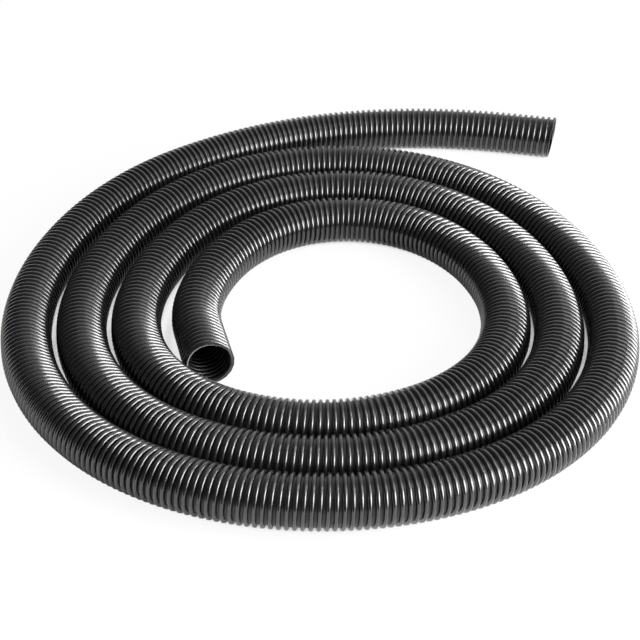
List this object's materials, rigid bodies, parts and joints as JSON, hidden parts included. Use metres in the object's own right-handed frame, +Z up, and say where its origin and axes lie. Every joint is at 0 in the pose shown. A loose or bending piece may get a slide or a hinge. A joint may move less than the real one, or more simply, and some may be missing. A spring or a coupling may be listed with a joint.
{
  "type": "vacuum hose",
  "caption": "Bare spiral-wound vacuum hose: a soft web with a stiff bead round it, lying flat as a one-layer coil, cut square and open at both ends.",
  "frame": {"origin": "middle of the hose's box, on the ground that it lies on", "axes": "+Z up from the ground; +Y from the front of the coil, where the loops lie closest, to the back, where the free run leaves; +X to the right, the way the outer end points"},
  "size_m": [0.5828, 0.691, 0.0455],
  "materials": {
    "hose_web": "glossy black soft polyethylene blend, wound and welded from a strip",
    "hose_bead": "glossy black stiff polyethylene bead, rounded, slightly scuffed on the crest"
  },
  "bodies": {
    "root": {"inner_end_wall": "hose_web", "coil_wall": "hose_web", "free_run_wall": "hose_web", "outer_end_wall": "hose_web", "stiffening_helix": "hose_bead"}
  },
  "joints": []
}
